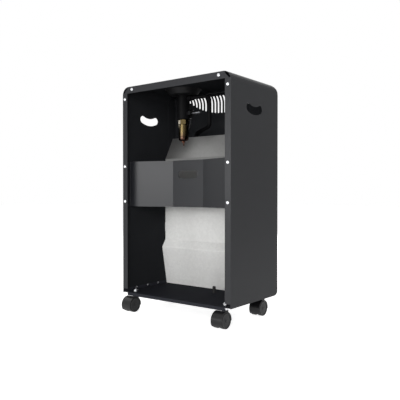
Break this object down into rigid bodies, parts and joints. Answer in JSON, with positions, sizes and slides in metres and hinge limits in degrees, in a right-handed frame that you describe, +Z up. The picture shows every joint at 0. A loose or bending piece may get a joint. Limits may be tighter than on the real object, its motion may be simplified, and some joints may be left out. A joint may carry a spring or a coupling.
{
  "type": "portable gas cabinet heater",
  "caption": "Upright steel cabinet heater on swivel casters: gas bottle bay open at the rear, radiant ceramic burner behind a wire guard, control knob in the top.",
  "frame": {"origin": "on the floor, at the middle of the overall width and depth", "axes": "+Z up, the burner side faces -Y, the open rear faces +Y, +X is the control knob's side"},
  "size_m": [0.42, 0.304, 0.7264],
  "materials": {
    "cabinet_paint": "fine satin powder coat",
    "bright_steel": "galvanised sheet",
    "zinc": "zinc plated",
    "black_metal": "matt black",
    "brass": "turned brass",
    "copper": "drawn copper",
    "aluminium": "bright rolled",
    "ceramic": "unglazed tile",
    "white_ceramic": "glazed insulator",
    "steel": "plain steel",
    "black_plastic": "moulded, fine grain",
    "rubber": "matt"
  },
  "bodies": {
    "cabinet": {"cabinet_wrap": "cabinet_paint", "front_panel": "cabinet_paint", "base_tray": "cabinet_paint", "rear_crossbar": "cabinet_paint", "heat_shield": "bright_steel", "flange_screws": "zinc", "foot_screws": "zinc", "bottle_peg": "rubber", "caster_stems": "zinc", "caster_nuts": "zinc", "burner_cradle": "steel", "reflector": "aluminium", "guard_grille": "black_metal", "window_frame": "black_metal", "gas_manifold": "steel", "injectors": "brass", "manifold_brackets": "steel", "control_dish": "black_metal", "valve_body": "black_metal", "valve_lock_nut": "brass", "magnet_housing": "brass", "lead_nut": "copper", "inlet_nozzle": "zinc", "outlet_gland": "black_metal", "burner_pipe": "black_metal", "pilot_plate": "steel", "pilot_burner": "steel", "pilot_pipe": "aluminium", "thermocouple": "copper", "spark_electrode": "white_ceramic", "burner_tray_1": "steel", "burner_tray_2": "steel", "burner_tray_3": "steel", "ceramic_plaque_1": "ceramic", "ceramic_plaque_2": "ceramic", "ceramic_plaque_3": "ceramic"},
    "gas_plug": {"valve_plug": "brass"},
    "knob": {"valve_spindle": "steel", "control_knob": "black_plastic"},
    "caster_rear_left": {"caster_hood_1": "black_plastic", "caster_axle_1": "steel"},
    "wheel_rear_left_a": {"caster_wheel_1a": "black_plastic"},
    "wheel_rear_left_b": {"caster_wheel_1b": "black_plastic"},
    "caster_rear_right": {"caster_hood_2": "black_plastic", "caster_axle_2": "steel"},
    "wheel_rear_right_a": {"caster_wheel_2a": "black_plastic"},
    "wheel_rear_right_b": {"caster_wheel_2b": "black_plastic"},
    "caster_front_left": {"caster_hood_3": "black_plastic", "caster_axle_3": "steel"},
    "wheel_front_left_a": {"caster_wheel_3a": "black_plastic"},
    "wheel_front_left_b": {"caster_wheel_3b": "black_plastic"},
    "caster_front_right": {"caster_hood_4": "black_plastic", "caster_axle_4": "steel"},
    "wheel_front_right_a": {"caster_wheel_4a": "black_plastic"},
    "wheel_front_right_b": {"caster_wheel_4b": "black_plastic"}
  },
  "joints": [
    {"name": "knob_turn", "type": "hinge", "parent": "cabinet", "child": "gas_plug", "pos_m": [0.075, -0.016, 0.7], "axis": [0, 0, -1], "range_deg": [0, 180]},
    {"name": "knob_push", "type": "slide", "parent": "gas_plug", "child": "knob", "axis": [0, 0, -1], "range_m": [0, 0.004], "stiffness_N_per_m": 2000, "springref_m": -0.001},
    {"name": "swivel_rear_left", "type": "hinge", "parent": "cabinet", "child": "caster_rear_left", "pos_m": [-0.176, 0.1064, 0.05], "axis": [0, 0, 1], "continuous": true},
    {"name": "roll_rear_left_a", "type": "hinge", "parent": "caster_rear_left", "child": "wheel_rear_left_a", "pos_m": [-0.176, 0.1264, 0.023], "axis": [1, 0, 0], "continuous": true},
    {"name": "roll_rear_left_b", "type": "hinge", "parent": "caster_rear_left", "child": "wheel_rear_left_b", "pos_m": [-0.176, 0.1264, 0.023], "axis": [1, 0, 0], "continuous": true},
    {"name": "swivel_rear_right", "type": "hinge", "parent": "cabinet", "child": "caster_rear_right", "pos_m": [0.176, 0.1064, 0.05], "axis": [0, 0, 1], "continuous": true},
    {"name": "roll_rear_right_a", "type": "hinge", "parent": "caster_rear_right", "child": "wheel_rear_right_a", "pos_m": [0.176, 0.1264, 0.023], "axis": [1, 0, 0], "continuous": true},
    {"name": "roll_rear_right_b", "type": "hinge", "parent": "caster_rear_right", "child": "wheel_rear_right_b", "pos_m": [0.176, 0.1264, 0.023], "axis": [1, 0, 0], "continuous": true},
    {"name": "swivel_front_left", "type": "hinge", "parent": "cabinet", "child": "caster_front_left", "pos_m": [-0.176, -0.096, 0.05], "axis": [0, 0, 1], "continuous": true},
    {"name": "roll_front_left_a", "type": "hinge", "parent": "caster_front_left", "child": "wheel_front_left_a", "pos_m": [-0.176, -0.076, 0.023], "axis": [1, 0, 0], "continuous": true},
    {"name": "roll_front_left_b", "type": "hinge", "parent": "caster_front_left", "child": "wheel_front_left_b", "pos_m": [-0.176, -0.076, 0.023], "axis": [1, 0, 0], "continuous": true},
    {"name": "swivel_front_right", "type": "hinge", "parent": "cabinet", "child": "caster_front_right", "pos_m": [0.176, -0.096, 0.05], "axis": [0, 0, 1], "continuous": true},
    {"name": "roll_front_right_a", "type": "hinge", "parent": "caster_front_right", "child": "wheel_front_right_a", "pos_m": [0.176, -0.076, 0.023], "axis": [1, 0, 0], "continuous": true},
    {"name": "roll_front_right_b", "type": "hinge", "parent": "caster_front_right", "child": "wheel_front_right_b", "pos_m": [0.176, -0.076, 0.023], "axis": [1, 0, 0], "continuous": true}
  ]
}
